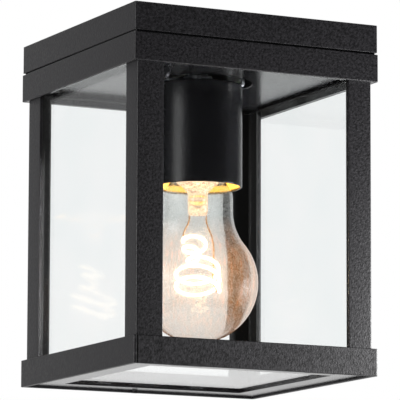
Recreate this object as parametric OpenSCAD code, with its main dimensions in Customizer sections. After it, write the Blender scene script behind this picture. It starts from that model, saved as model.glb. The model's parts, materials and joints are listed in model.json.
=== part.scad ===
// Porch ceiling lantern: a square glazed lantern that hangs under a ceiling plate.
// The origin is the centre of the face that lies against the ceiling, +Z up.
// The front is -Y, and the four corner posts follow each other round in quarter turns.

/* [Overall] */
// Outer width of the ceiling plate
cap_w = 132; // [126:1:150]
// Room between the lamp's lower end and the bottom pane
lamp_room = 13.9; // [12:0.5:60]

/* [Ceiling plate] */
// Height of the ceiling plate's skirt
cap_h = 13.6; // [12:0.2:18]
// Sheet thickness of the ceiling plate
cap_t = 0.8; // [0.8:0.1:1.2]
// Distance between the two fixing slots, centre to centre
slot_spacing = 100; // [94:1:102]
// Length of a fixing slot, end to end
slot_len = 14; // [8:0.5:15]
// Width of a fixing slot
slot_w = 4.8; // [4:0.1:6]
// Distance of the cable entry from the plate's front edge
cable_inset = 28; // [24:1:34]
// Bore of the cable grommet
cable_d = 8; // [6:0.5:10]

/* [Lantern top] */
// Shadow gap between the ceiling plate and the top band
gap_h = 1; // [0.6:0.1:3]
// How far the top band stands out past the ceiling plate on each side
roof_out = 0.25; // [0:0.05:1]
// Height of the top band
roof_h = 13.7; // [12:0.2:20]
// Sheet thickness of the top band
roof_t = 1.15; // [1:0.05:1.6]
// Sheet thickness of the roof plate and its flange
plate_t = 1.5; // [1.2:0.1:2]
// Height of the roof plate's underside above the band's lower edge
roof_recess = 4.1; // [3:0.1:6]
// Hole in the roof plate that the lampholder hangs through
roof_hole_d = 54; // [50:1:60]
// Height that the collar reaches up inside the ceiling plate
collar_lap = 5; // [3:0.5:8]
// Sheet thickness of the collar
collar_t = 1; // [0.8:0.1:2]
// Distance of the two hanging studs from the plate's edges
stud_inset = 28; // [22:0.5:30]
// Diameter of a hanging stud
stud_d = 4; // [3:0.5:5]

/* [Posts and glass] */
// Width of a post's leg on the face where it starts
leg_long = 14; // [12:0.1:18]
// Width of a post's leg on the next face
leg_short = 12.6; // [11:0.1:16]
// Sheet thickness of a post
post_t = 1.5; // [1:0.1:2]
// Thickness of the glazing strip between a post and a pane
seal_t = 1.25; // [0.8:0.05:2]
// Thickness of the four side panes
pane_t = 3; // [2:0.5:4]
// Room between a pane's top edge and the roof plate
pane_room = 1; // [0.6:0.1:2]

/* [Base] */
// Height of the base band
base_h = 13.4; // [12.6:0.2:20]
// Wall thickness of the base band
base_t = 2.1; // [1.5:0.1:2.6]
// Width of the open joint beside the base band's corner
seam_w = 0.5; // [0.3:0.1:0.8]
// Height of the bottom frame's underside above the band's lower edge
frame_recess = 1; // [0.8:0.1:1.6]
// Sheet thickness of the bottom frame
frame_t = 1.2; // [1:0.1:1.6]
// Width of the bottom frame's rim round its opening
rim_w = 14.2; // [12.6:0.2:20]
// Thickness of the bottom pane
floor_glass_t = 3; // [2:0.5:4]
// Width that the bottom pane laps over the frame on each side
floor_glass_lap = 4; // [2:0.5:5]
// Gap between the bottom frame and the band around it
frame_gap = 0.4; // [0.3:0.1:0.8]
// Diameter of a hinge pin
pin_d = 2; // [1.6:0.1:2.2]
// Distance of each hinge's middle from the outer face of the nearest post
hinge_inset = 27.6; // [26:0.2:34]

/* [Lampholder] */
// Room between the lampholder and the tube around it
tube_room = 1.9; // [1.5:0.1:4]
// Wall thickness of the tube
tube_t = 1; // [0.8:0.1:1.4]
// Length of the tube
tube_len = 51.3; // [50:0.5:56]
// Distance of the tube's top below the roof plate
tube_drop = 1.1; // [0.5:0.1:2]
// Width of the bridge strap
bridge_w = 16; // [12:0.5:18]
// Thickness of the bridge strap
bridge_t = 1.5; // [1:0.1:2]
// Outer diameter of the threaded nipple
nipple_d = 9.9; // [9:0.1:10]

/* [Bulb] */
// Diameter of the glass globe
bulb_d = 60; // [50:1:60]
// Length of the bulb from its tip contact to the globe's end
bulb_len = 106.6; // [98:0.2:108]
// Diameter of the glass neck
neck_d = 35; // [32:0.5:37]
// Radius of the curve between neck and globe
neck_fillet = 27; // [20:1:32]
// Thickness of the bulb's glass
bulb_glass_t = 0.8; // [0.5:0.1:1.2]
// Diameter over the cap's thread
cap_thread_d = 26.2; // [25.6:0.1:26.4]
// Pitch of the cap's thread
thread_pitch = 3.62; // [3.5:0.01:3.7]
// Turns of the glowing filament
filament_turns = 4.5; // [3.5:1:5.5]
// Diameter of the filament
filament_d = 1.8; // [1:0.1:2.4]
// Radius of the filament's lower coil
filament_r = 10.8; // [9:0.1:12]

/* [Hidden] */
$fn = 96;

// Fits and small common sizes
eps = 0.01;
flush = 0.2;
slide_fit = 0.1;
pane_fit = 0.35;
bend_r = 0.8;
clip_t = 0.8;
grommet_wall = 3;
grommet_h = 6;

// Half widths, from the outside in
cap_half = cap_w / 2;
roof_half = cap_half + roof_out;
roof_in = roof_half - roof_t;
post_half = roof_in - plate_t;
base_half = post_half + base_t;
collar_half = min(cap_half - cap_t - slide_fit, roof_in);
pane_out = post_half - post_t - seal_t;
pane_in = pane_out - pane_t;
frame_half = post_half - frame_gap;
opening_half = frame_half - rim_w;
floor_glass_half = opening_half + floor_glass_lap;
cable_y = cap_half - cable_inset;
stud_pos = cap_half - stud_inset;

// Heights of the top, from the ceiling down
z_cap = -cap_h;
z_roof_top = z_cap - gap_h;
z_roof_bot = z_roof_top - roof_h;
z_plate = z_roof_bot + roof_recess;
z_plate_top = z_plate + plate_t;

// Lampholder radii, from the screw shell out to the tube
sleeve_wall = 1.5;
shell_t = 0.4;
shell_fit = 0.4;
shell_in = cap_thread_d / 2 + shell_fit;
shell_out = shell_in + shell_t;
core_in = shell_out + slide_fit;
core_out = core_in + 3.5;
sleeve_in = core_out + slide_fit;
sleeve_out = sleeve_in + sleeve_wall;
tube_r = sleeve_out + tube_room + tube_t;

// Bridge, studs and nipple
foot_len = 12;
bridge_out = tube_r;
z_tube_top = z_plate - tube_drop;
z_web_top = z_tube_top + bridge_t;
z_tube_bot = z_tube_top - tube_len;
rivet_d = 4;
rivet_x = bridge_out + foot_len / 2 + 0.5;
spacer_wall = 1.8;
washer_t = 0.8;
nut_af = 7;
nut_h = 3.2;
nipple_bore_d = 7;
nipple_fit = 0.05;
nipple_nut_af = 14;
nipple_nut_h = 3;
z_nipple_top = z_web_top + nipple_nut_h + 2;
tube_top_t = 1.2;

// Lampholder inside the tube
z_holder = z_tube_top - tube_top_t;
holder_cap_h = 9.5;
z_core = z_holder - holder_cap_h;
holder_thread = 4.5;
z_nipple_bot = z_holder - holder_thread;
core_top_t = 7.6;
z_contact = z_core - core_top_t;
contact_drop = 4;
core_len = 34;
sleeve_extra = 1.5;
shell_len = 24;
chamber_r = 10;

// Bulb
z_tip = z_contact - contact_drop;
globe_r = bulb_d / 2;
z_globe = z_tip - bulb_len + globe_r;
neck_r = neck_d / 2;
z_fillet = z_globe + sqrt(pow(globe_r + neck_fillet, 2) - pow(neck_r + neck_fillet, 2));
tip_h = 1.6;
tip_r = 4.8;
insulator_h = 3.4;
insulator_r = 11.2;
cap_len = 21;
z_cap_top = z_tip - tip_h - insulator_h;
z_seal = z_cap_top - cap_len;
thread_depth = 0.8;
cap_sheet_t = 0.3;
shoulder_r = 10;
z_shoulder = z_seal - 8.5;
stem_r = 5;
stem_wall = 0.9;
z_stem_bot = z_seal - 17.2;
lead_d = 0.8;
lead_x = 4.2;
filament_top_r = 5.7;
filament_top_x = -1.6;
filament_neck_r = 1.3;
z_filament_top = z_stem_bot - 12.8;
filament_drop = 25;
filament_tilt = 0.42;
filament_steps = 18;
bulb_turn = -26.6;
route_steps = 5;
wire_d = 2.2;

// Heights of the base, from the lamp's lower end down
z_floor_glass = z_globe - globe_r - lamp_room;
z_frame_top = z_floor_glass - floor_glass_t;
z_frame = z_frame_top - frame_t;
z_base_bot = z_frame - frame_recess;
z_base_top = z_base_bot + base_h;

// Pane channel and panes
channel_t = 1;
channel_room = 2.2;
z_pane_bot = z_floor_glass + clip_t + channel_room + channel_t;
z_pane_top = z_plate - pane_room;
channel_lip = 3.5;
channel_in = pane_in - slide_fit * 2 - channel_t;
channel_end = 0.5;
tab_drop = pane_room + 1.2;
tab_foot = 5.4;
tab_w = 5;
tab_x = pane_in - 9.5;

// Bottom frame's hinge
pin_fit = 0.05;
knuckle_r = pin_d / 2 + pin_fit + 0.7;
hinge_y = -(frame_half - knuckle_r + 0.05);
hinge_z = z_frame + 0.9;
hinge_x = post_half - hinge_inset;
knuckle_len = 12.8;
ear_t = 1.4;
ear_gap = 0.3;
ear_r = knuckle_r;
bracket_t = 0.9;
bracket_top = hinge_z + knuckle_r + 3.6;
pin_head_h = 0.8;
pin_head_r = pin_d / 2 + 0.5;
z_post_bot = hinge_z + norm([frame_half + hinge_y, hinge_z - z_frame]) + 0.5;

// Magnet catch and pry tab at the back edge
magnet_w = 16;
magnet_d = 6;
magnet_y = frame_half - 1.7;
magnet_h = 4.2;
holder_t = 1;
pry_tab_w = 2.6;
pry_tab_x = -3.7;
pry_tab_drop = 0.35;

// Bottom pane's clips: angle of the side, offset along the side
clip_x = opening_half * 0.53;
floor_clips = concat([[0, 0]], [for (a = [90, 180, 270], s = [-1, 1]) [a, s * clip_x]]);
floor_clip_w = 7;
floor_clip_foot = 4;
floor_clip_reach = 2;

// Terminal block
block_w = 30;
block_l = 16;
block_base_h = 4;
block_h = 12;
block_y = cap_half - 26;
block_front = block_y - block_l / 2;
pole_pitch = 10;
pole_w = 8.6;
wire_hole_d = 3;
z_pole_wire = -cap_t - block_base_h - 2.6;
screw_well_d = 4.6;
earth_pos = [-block_w, block_front - 8];
earth_nut_h = 3.2;
earth_stud_len = 8;
earth_washer_t = 1.6;
lug_t = 0.8;
wire_grip = 3.5;

black = "#1f1f20";
satin_black = "#17181a";
glass_tint = [0.85, 0.9, 0.9, 0.3];
zinc = "#b9bcc0";
brass = "#c79a45";

// ---------- shared shapes ----------

// Square with rounded corners, centred
module soft_square(w, r) {
    union() {
        square([w, w - 2 * r], center = true);
        square([w - 2 * r, w], center = true);
        for (x = [-1, 1], y = [-1, 1])
            translate([x * (w / 2 - r), y * (w / 2 - r)])
                circle(r);
    }
}

// Square band of folded sheet between two heights
module band(half, t, z_low, z_high) {
    translate([0, 0, z_low])
        linear_extrude(z_high - z_low)
            difference() {
                soft_square(2 * half, bend_r);
                square(2 * (half - t), center = true);
            }
}

// Folded angle with its outer corner at the origin and a bent outer edge
module angle_profile(a, b, t, r) {
    difference() {
        union() {
            square([a, t]);
            square([t, b]);
        }
        difference() {
            translate([-eps, -eps])
                square(r + eps);
            translate([r, r])
                circle(r);
        }
    }
}

// Hexagonal prism across the flats
module hex(af, h) {
    cylinder(h = h, d = af / cos(30), $fn = 6);
}

// Tube standing up from its lower end
module pipe(r_out, r_in, h) {
    difference() {
        cylinder(h = h, r = r_out);
        translate([0, 0, -1])
            cylinder(h = h + 2, r = r_in);
    }
}

// Profile drawn as distance from the centre and height, laid along the front side
module front_strip(x_low, x_high) {
    translate([x_high, 0, 0])
        rotate([0, -90, 0])
            rotate([0, 0, 90])
                mirror([0, 1, 0])
                    linear_extrude(x_high - x_low)
                        mirror([1, 0, 0])
                            children();
}

// Copies at the two hanging studs
module at_studs() {
    for (s = [-1, 1])
        translate([s * stud_pos, s * stud_pos, 0])
            children();
}

// Smooth route through hand-chosen points
function between(a, b, c, d, u) =
    0.5 * ((2 * b) + (c - a) * u + (2 * a - 5 * b + 4 * c - d) * u * u
           + (3 * b - a - 3 * c + d) * u * u * u);
function route(p, n) = [
    for (i = [0 : len(p) - 2], k = [0 : n - 1])
        between(p[max(i - 1, 0)], p[i], p[i + 1], p[min(i + 2, len(p) - 1)], k / n),
    p[len(p) - 1]
];
function unit(v) = v / norm(v);
function heading(p, i) = unit(p[min(i + 1, len(p) - 1)] - p[max(i - 1, 0)]);
function side_of(t, s) = unit(s - (s * t) * t);
// Each side direction is the last one made square to the path, so the tube doesn't twist
function sides(p, s) = [
    for (i = 0, v = side_of(heading(p, 0), s); i < len(p);
         i = i + 1, v = i < len(p) ? side_of(heading(p, i), v) : v)
        v
];

// Round tube along a path
module sweep(path, r, start, n = 8) {
    frames = sides(path, start);
    rings = len(path);
    points = [
        for (i = [0 : rings - 1], k = [0 : n - 1])
            let (t = heading(path, i), s = frames[i], b = cross(t, s), a = 360 * k / n)
                path[i] + r * (cos(a) * s + sin(a) * b)
    ];
    walls = [
        for (i = [0 : rings - 2], k = [0 : n - 1])
            let (m = (k + 1) % n)
                each [[i * n + k, i * n + m, (i + 1) * n + k],
                      [i * n + m, (i + 1) * n + m, (i + 1) * n + k]]
    ];
    first = [for (k = [1 : n - 2]) [0, k + 1, k]];
    last = [for (k = [1 : n - 2]) [(rings - 1) * n, (rings - 1) * n + k, (rings - 1) * n + k + 1]];
    polyhedron(points = points, faces = [for (f = concat(walls, first, last)) [f[2], f[1], f[0]]]);
}

// ---------- ceiling plate and what hangs from it ----------

module ceiling_plate() {
    color(black)
        difference() {
            union() {
                band(cap_half, cap_t, z_cap, -cap_t);
                translate([0, 0, -cap_t])
                    linear_extrude(cap_t)
                        soft_square(cap_w, bend_r);
            }
            for (s = [-1, 1])
                translate([s * slot_spacing / 2, 0, -cap_t - 1])
                    slot_cut();
            translate([0, -cable_y, -cap_t - 1])
                cylinder(h = cap_t + 2, d = cable_d + 2 * grommet_wall);
            for (s = [-1, 1])
                translate([s * rivet_x, 0, -cap_t - 1])
                    cylinder(h = cap_t + 2, d = rivet_d);
        }
}

module slot_cut() {
    run = slot_len - slot_w;
    linear_extrude(cap_t + 2)
        union() {
            square([run, slot_w], center = true);
            for (s = [-1, 1])
                translate([s * run / 2, 0])
                    circle(d = slot_w);
        }
}

module cable_grommet() {
    bore = cable_d / 2;
    neck = bore + grommet_wall;
    lip = bore + 1.6;
    color("#2a2a2a")
        translate([0, -cable_y, 0])
            rotate_extrude()
                polygon([
                    [bore, -flush], [neck, -flush], [neck, -cap_t], [neck + 3, -cap_t],
                    [neck + 3, -cap_t - 1.6], [lip + 0.6, -cap_t - 2.2],
                    [lip, -cap_t - grommet_h], [bore, -cap_t - grommet_h]
                ]);
}

module holder_bridge() {
    foot_z = -cap_t - bridge_t;
    turn_r = bridge_t + 1;
    color(zinc)
        difference() {
            translate([0, bridge_w / 2, 0])
                rotate([90, 0, 0])
                    linear_extrude(bridge_w)
                        difference() {
                            union() {
                                translate([-bridge_out, z_tube_top + turn_r])
                                    square([2 * bridge_out, -cap_t - z_tube_top - turn_r]);
                                translate([-bridge_out + turn_r, z_tube_top])
                                    square([2 * (bridge_out - turn_r), turn_r + 1]);
                                for (s = [-1, 1])
                                    translate([s * (bridge_out - turn_r), z_tube_top + turn_r])
                                        circle(turn_r);
                                translate([-bridge_out - foot_len, foot_z])
                                    square([2 * (bridge_out + foot_len), bridge_t]);
                            }
                            translate([-bridge_out + bridge_t, z_web_top + 1])
                                square([2 * (bridge_out - bridge_t), -z_web_top]);
                            translate([-bridge_out + turn_r, z_web_top])
                                square([2 * (bridge_out - turn_r), 2]);
                            for (s = [-1, 1])
                                translate([s * (bridge_out - turn_r), z_web_top + 1])
                                    circle(1);
                        }
            translate([0, 0, z_tube_top - 1])
                cylinder(h = bridge_t + 2, d = nipple_d + 2 * nipple_fit);
            for (s = [-1, 1])
                translate([s * rivet_x, 0, foot_z - 1])
                    cylinder(h = bridge_t + 2, d = rivet_d);
        }
}

module bridge_rivets() {
    head_r = rivet_d / 2 + 1.5;
    low = -cap_t - bridge_t;
    color(zinc)
        for (s = [-1, 1])
            translate([s * rivet_x, 0, 0])
                rotate_extrude()
                    polygon([
                        [0, -flush], [rivet_d / 2, -flush], [rivet_d / 2, low], [head_r, low],
                        [head_r * 0.8, low - 0.8], [head_r * 0.45, low - 1.3], [0, low - 1.4]
                    ]);
}

module hanging_studs() {
    low = z_plate - washer_t - nut_h - 1;
    color(zinc)
        at_studs()
            translate([0, 0, low])
                cylinder(h = -cap_t - low, d = stud_d);
}

module stud_spacers() {
    color(zinc)
        at_studs()
            translate([0, 0, z_plate_top])
                pipe(stud_d / 2 + slide_fit + spacer_wall, stud_d / 2 + slide_fit, -cap_t - z_plate_top);
}

module stud_washers() {
    color(zinc)
        at_studs()
            translate([0, 0, z_plate - washer_t])
                pipe(stud_d / 2 + 2.6, stud_d / 2 + slide_fit, washer_t);
}

module cap_nuts() {
    dome_r = nut_af / 2 - 0.1;
    top = z_plate - washer_t;
    color(satin_black)
        at_studs()
            difference() {
                union() {
                    translate([0, 0, top - nut_h])
                        hex(nut_af, nut_h);
                    intersection() {
                        translate([0, 0, top - nut_h])
                            sphere(dome_r);
                        translate([0, 0, top - nut_h - dome_r])
                            cylinder(h = dome_r, r = dome_r);
                    }
                }
                translate([0, 0, top - nut_h - 1])
                    cylinder(h = nut_h + 2, d = stud_d);
            }
}

// ---------- wiring ----------

module terminal_block() {
    poles = [-1, 0, 1];
    color("#e9e8e2")
        translate([0, block_y, 0])
            difference() {
                union() {
                    translate([-block_w / 2, -block_l / 2, -cap_t - block_base_h])
                        cube([block_w, block_l, block_base_h]);
                    for (i = poles)
                        translate([i * pole_pitch, 0, -cap_t - block_base_h])
                            rotate([90, 0, 0])
                                linear_extrude(block_l, center = true)
                                    pole_profile();
                }
                for (i = poles)
                    translate([i * pole_pitch, 0, z_pole_wire])
                        rotate([90, 0, 0])
                            cylinder(h = block_l + 2, d = wire_hole_d, center = true);
                for (i = poles, s = [-1, 1])
                    translate([i * pole_pitch, s * block_l / 4, -cap_t - block_h - 1])
                        cylinder(h = 5.2, d = screw_well_d);
            }
}

// Rounded barrel that holds one terminal, hanging from the block's base
module pole_profile() {
    depth = block_h - block_base_h;
    union() {
        translate([-pole_w / 2, -depth + pole_w / 2])
            square([pole_w, depth - pole_w / 2 + 1]);
        translate([0, -depth + pole_w / 2])
            circle(d = pole_w);
    }
}

module terminal_screws() {
    head_z = -cap_t - block_h + 1.6;
    color(zinc)
        for (i = [-1, 0, 1], s = [-1, 1])
            translate([i * pole_pitch, block_y + s * block_l / 4, head_z])
                difference() {
                    cylinder(h = 2.6, d = screw_well_d - 0.6);
                    translate([-3, -0.35, -1])
                        cube([6, 0.7, 1.8]);
                }
}

module earth_stud() {
    lug_z = -cap_t - earth_washer_t - lug_t;
    color(brass)
        translate([earth_pos[0], earth_pos[1], 0]) {
            translate([0, 0, -cap_t - earth_stud_len])
                cylinder(h = earth_stud_len, d = stud_d);
            translate([0, 0, lug_z - earth_nut_h])
                hex(nut_af, earth_nut_h);
            translate([0, 0, -cap_t - earth_washer_t])
                cylinder(h = earth_washer_t, d = nut_af + 1);
        }
}

module earth_wire() {
    lug_z = -cap_t - earth_washer_t - lug_t;
    start = [earth_pos[0] + 5.5, earth_pos[1] + 1.2, lug_z + lug_t / 2];
    points = [
        start,
        start + [2.5, 0.3, -1],
        [-pole_pitch - 7, block_front - 7.5, z_pole_wire + 1],
        [-pole_pitch - 1.5, block_front - 5, z_pole_wire],
        [-pole_pitch, block_front, z_pole_wire],
        [-pole_pitch, block_front + wire_grip, z_pole_wire]
    ];
    color("#7fa63a")
        union() {
            translate([earth_pos[0], earth_pos[1], lug_z])
                pipe(stud_d, stud_d / 2 + slide_fit, lug_t);
            translate([earth_pos[0] + stud_d - 0.6, earth_pos[1] - 0.4, lug_z])
                cube([3.4, 3, lug_t]);
            sweep(route(points, route_steps), wire_d / 2, [0, 0, 1]);
        }
}

// Wire from a pole of the block over the strap and down through the nipple
module lamp_wire(x_pole, side, tint) {
    inside = wire_d / 2 + 0.15;
    points = [
        [x_pole, block_front + wire_grip, z_pole_wire],
        [x_pole, block_front, z_pole_wire],
        [x_pole * 0.9, block_front - 7, z_pole_wire + 0.5],
        [x_pole * 0.4 + side * 1.6, block_front * 0.45, z_pole_wire - 2],
        [side * 1.6, nipple_d * 0.45, z_nipple_top + 4.5],
        [side * inside, 0.4, z_nipple_top - 1],
        [side * inside, 0, z_nipple_bot + 1],
        [side * 1.8, 0, z_nipple_bot - 1],
        [side * 4, 0, z_core + 2],
        [side * 4, 0, z_core + slide_fit]
    ];
    color(tint)
        sweep(route(points, route_steps), wire_d / 2, [1, 0, 0]);
}

module live_wire() {
    lamp_wire(pole_pitch, 1, "#6b4426");
}

module neutral_wire() {
    lamp_wire(0, -1, "#3558a8");
}

// ---------- lantern top ----------

module roof_band() {
    color(black)
        band(roof_half, roof_t, z_roof_bot, z_roof_top);
}

module roof_plate() {
    color(black)
        difference() {
            union() {
                translate([0, 0, z_roof_bot])
                    linear_extrude(z_plate - z_roof_bot)
                        difference() {
                            square(2 * roof_in, center = true);
                            square(2 * post_half, center = true);
                        }
                translate([0, 0, z_plate])
                    linear_extrude(plate_t)
                        square(2 * roof_in, center = true);
            }
            translate([0, 0, z_plate - 1])
                cylinder(h = plate_t + 2, d = roof_hole_d);
            at_studs()
                translate([0, 0, z_plate - 1])
                    cylinder(h = plate_t + 2, d = stud_d + 0.4);
        }
}

module gap_collar() {
    color(satin_black)
        band(collar_half, collar_t, z_plate_top, z_cap + collar_lap);
}

// Small bent tabs under the roof plate that stop the panes from tipping inwards
module pane_clips() {
    face = pane_in - 2 * slide_fit;
    color(satin_black)
        for (a = [0 : 90 : 270], x = [-tab_x, tab_x])
            rotate([0, 0, a])
                front_strip(x - tab_w / 2, x + tab_w / 2)
                    union() {
                        translate([face - clip_t, z_plate - tab_drop])
                            square([clip_t, tab_drop]);
                        translate([face - clip_t - tab_foot, z_plate - clip_t])
                            square([tab_foot + eps, clip_t]);
                    }
}

// ---------- posts, glazing strips and panes ----------

// Front left post: the long leg lies on the front, the short one on the left side
module post() {
    color(black)
        translate([-post_half, -post_half, z_post_bot])
            linear_extrude(z_plate - z_post_bot)
                angle_profile(leg_long, leg_short, post_t, bend_r);
}

module seal() {
    color("#101010")
        translate([-post_half + post_t, -post_half + post_t, z_pane_bot])
            linear_extrude(z_pane_top - z_pane_bot)
                angle_profile(leg_long - post_t, leg_short - post_t, seal_t, 0.3);
}

module pane() {
    color(glass_tint)
        translate([-pane_out + slide_fit, -pane_out, z_pane_bot])
            cube([pane_out - slide_fit + pane_in - pane_fit, pane_t, z_pane_top - z_pane_bot]);
}

module post_front_left() { post(); }
module post_front_right() { rotate([0, 0, 90]) post(); }
module post_back_right() { rotate([0, 0, 180]) post(); }
module post_back_left() { rotate([0, 0, 270]) post(); }
module seal_front_left() { seal(); }
module seal_front_right() { rotate([0, 0, 90]) seal(); }
module seal_back_right() { rotate([0, 0, 180]) seal(); }
module seal_back_left() { rotate([0, 0, 270]) seal(); }
module pane_front() { pane(); }
module pane_right() { rotate([0, 0, 90]) pane(); }
module pane_back() { rotate([0, 0, 180]) pane(); }
module pane_left() { rotate([0, 0, 270]) pane(); }

// Channels inside the base band that carry the lower edges of the panes
module pane_channels() {
    low = z_pane_bot - channel_t;
    color(black)
        for (a = [0 : 90 : 270])
            rotate([0, 0, a])
                front_strip(-post_half + leg_long + channel_end, post_half - leg_short - channel_end)
                    union() {
                        translate([channel_in, low])
                            square([post_half - channel_in, channel_t]);
                        translate([channel_in, low])
                            square([channel_t, channel_t + channel_lip]);
                        translate([post_half - channel_t, low])
                            square([channel_t, channel_t + channel_lip]);
                    }
}

// ---------- base and bottom frame ----------

module base_band() {
    seam_deep = base_t / 2;
    seam_x = -base_half + 1.6;
    color(black)
        difference() {
            band(base_half, base_t, z_base_bot, z_base_top);
            translate([seam_x, -base_half - 1, z_base_bot - 1])
                cube([seam_w, seam_deep + 1, base_h + 2]);
        }
}

module hinge_brackets() {
    inner = knuckle_len / 2 + ear_gap;
    color(satin_black)
        for (s = [-1, 1])
            translate([s * hinge_x, 0, 0]) {
                for (e = [-1, 1])
                    difference() {
                        translate([e * (inner + ear_t / 2) - ear_t / 2, 0, 0])
                            hinge_ear();
                        translate([e * (inner + ear_t / 2), hinge_y, hinge_z])
                            rotate([0, 90, 0])
                                cylinder(h = ear_t + 2, d = pin_d, center = true);
                    }
                translate([-inner - ear_t, -post_half, bracket_top - 2.4])
                    cube([2 * (inner + ear_t), bracket_t, 2.4]);
            }
}

// One ear: a round end about the pin and a neck up to the band's inner face
module hinge_ear() {
    translate([0, hinge_y, hinge_z])
        rotate([0, 90, 0])
            cylinder(h = ear_t, r = ear_r);
    translate([0, -post_half, hinge_z])
        cube([ear_t, hinge_y + ear_r + post_half, bracket_top - hinge_z]);
}

module hinge_pins() {
    reach = knuckle_len / 2 + ear_gap + ear_t;
    color(zinc)
        for (s = [-1, 1])
            translate([s * hinge_x, hinge_y, hinge_z])
                rotate([0, 90, 0]) {
                    translate([0, 0, -reach])
                        cylinder(h = 2 * reach, d = pin_d);
                    translate([0, 0, -reach - pin_head_h])
                        cylinder(h = pin_head_h, r = pin_head_r);
                    translate([0, 0, reach])
                        cylinder(h = pin_head_h, r = pin_head_r);
                }
}

module magnet_holder() {
    top = z_frame_top + magnet_h;
    color(satin_black)
        union() {
            translate([-magnet_w / 2 - 1, magnet_y - magnet_d, top])
                cube([magnet_w + 2, post_half - magnet_y + magnet_d, holder_t]);
            translate([-magnet_w / 2 - 1, post_half - holder_t, z_frame_top + 0.5])
                cube([magnet_w + 2, holder_t, magnet_h]);
        }
}

module catch_magnet() {
    color("#5a5a5e")
        translate([-magnet_w / 2, magnet_y - magnet_d, z_frame_top])
            cube([magnet_w, magnet_d, magnet_h]);
}

module bottom_frame() {
    slot_w_x = ear_t + pin_head_h + 2 * ear_gap;
    slot_x = knuckle_len / 2;
    slot_back = hinge_y + ear_r + 0.3;
    color(black)
        difference() {
            union() {
                difference() {
                    translate([0, 0, z_frame])
                        linear_extrude(frame_t)
                            difference() {
                                square(2 * frame_half, center = true);
                                square(2 * opening_half, center = true);
                            }
                    for (s = [-1, 1])
                        translate([s * hinge_x - slot_x - slot_w_x, -frame_half - 1, z_frame - 1])
                            cube([2 * (slot_x + slot_w_x), slot_back + frame_half + 1, frame_t + 2]);
                }
                for (s = [-1, 1])
                    translate([s * hinge_x - slot_x, 0, 0])
                        frame_knuckle();
                translate([pry_tab_x - pry_tab_w / 2, frame_half - frame_t, z_base_bot - pry_tab_drop])
                    cube([pry_tab_w, frame_t, frame_recess + pry_tab_drop + eps]);
            }
            for (s = [-1, 1])
                translate([s * hinge_x, hinge_y, hinge_z])
                    rotate([0, 90, 0])
                        cylinder(h = knuckle_len + 2, d = pin_d + 2 * pin_fit, center = true);
        }
}

// Knuckle rolled from the frame's front edge, with the strip that joins it to the frame
module frame_knuckle() {
    translate([0, hinge_y, hinge_z])
        rotate([0, 90, 0])
            cylinder(h = knuckle_len, r = knuckle_r);
    translate([0, hinge_y, z_frame])
        cube([knuckle_len, ear_r + 0.3 + eps, frame_t]);
}

module bottom_glass() {
    color(glass_tint)
        translate([-floor_glass_half, -floor_glass_half, z_frame_top])
            cube([2 * floor_glass_half, 2 * floor_glass_half, floor_glass_t]);
}

module bottom_clips() {
    color(zinc)
        for (c = floor_clips)
            rotate([0, 0, c[0]])
                front_strip(c[1] - floor_clip_w / 2, c[1] + floor_clip_w / 2)
                    union() {
                        translate([floor_glass_half + slide_fit, z_frame_top])
                            square([floor_clip_foot, clip_t]);
                        translate([floor_glass_half + slide_fit, z_frame_top])
                            square([clip_t, floor_glass_t + clip_t]);
                        translate([floor_glass_half - floor_clip_reach, z_floor_glass])
                            square([floor_clip_reach + slide_fit + clip_t, clip_t]);
                    }
}

// ---------- lampholder ----------

module lampholder_tube() {
    edge = tube_t * 0.3;
    color(satin_black)
        difference() {
            rotate_extrude()
                polygon([
                    [0, z_tube_top], [tube_r - edge, z_tube_top], [tube_r, z_tube_top - edge],
                    [tube_r, z_tube_bot + edge], [tube_r - edge, z_tube_bot],
                    [tube_r - tube_t + edge, z_tube_bot],
                    [tube_r - tube_t, z_tube_bot + edge], [tube_r - tube_t, z_holder], [0, z_holder]
                ]);
            translate([0, 0, z_holder - 1])
                cylinder(h = tube_top_t + 2, d = nipple_d + 2 * nipple_fit);
        }
}

module holder_nipple() {
    color(zinc)
        translate([0, 0, z_nipple_bot])
            pipe(nipple_d / 2, nipple_bore_d / 2, z_nipple_top - z_nipple_bot);
}

module nipple_nut() {
    color(zinc)
        translate([0, 0, z_web_top])
            difference() {
                hex(nipple_nut_af, nipple_nut_h);
                translate([0, 0, -1])
                    cylinder(h = nipple_nut_h + 2, d = nipple_d);
            }
}

module holder_cap() {
    wall = 2;
    color("#141414")
        rotate_extrude()
            difference() {
                polygon([
                    [nipple_d / 2, z_holder], [9, z_holder], [13, z_holder - 1.2],
                    [sleeve_out - 2.5, z_holder - 3.6], [sleeve_out - 0.6, z_holder - 6.4],
                    [sleeve_out, z_holder - 9], [sleeve_out, z_core], [nipple_d / 2, z_core]
                ]);
                polygon([
                    [0, z_nipple_bot], [chamber_r, z_nipple_bot], [chamber_r + wall, z_core - 1],
                    [0, z_core - 1]
                ]);
            }
}

module holder_core() {
    color("#e6e2d8")
        difference() {
            translate([0, 0, z_core - core_len])
                cylinder(h = core_len, r = core_out);
            translate([0, 0, z_core - core_len - 1])
                cylinder(h = core_len - core_top_t + 1, r = core_in);
        }
}

module holder_sleeve() {
    color("#141414")
        translate([0, 0, z_core - core_len - sleeve_extra])
            pipe(sleeve_out, sleeve_in, core_len + sleeve_extra);
}

module screw_shell() {
    top = z_contact;
    color(brass)
        rotate_extrude()
            polygon([
                [shell_in - 3, top], [shell_out, top], [shell_out, top - shell_len],
                [shell_in, top - shell_len], [shell_in, top - shell_t], [shell_in - 3, top - shell_t]
            ]);
}

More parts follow.
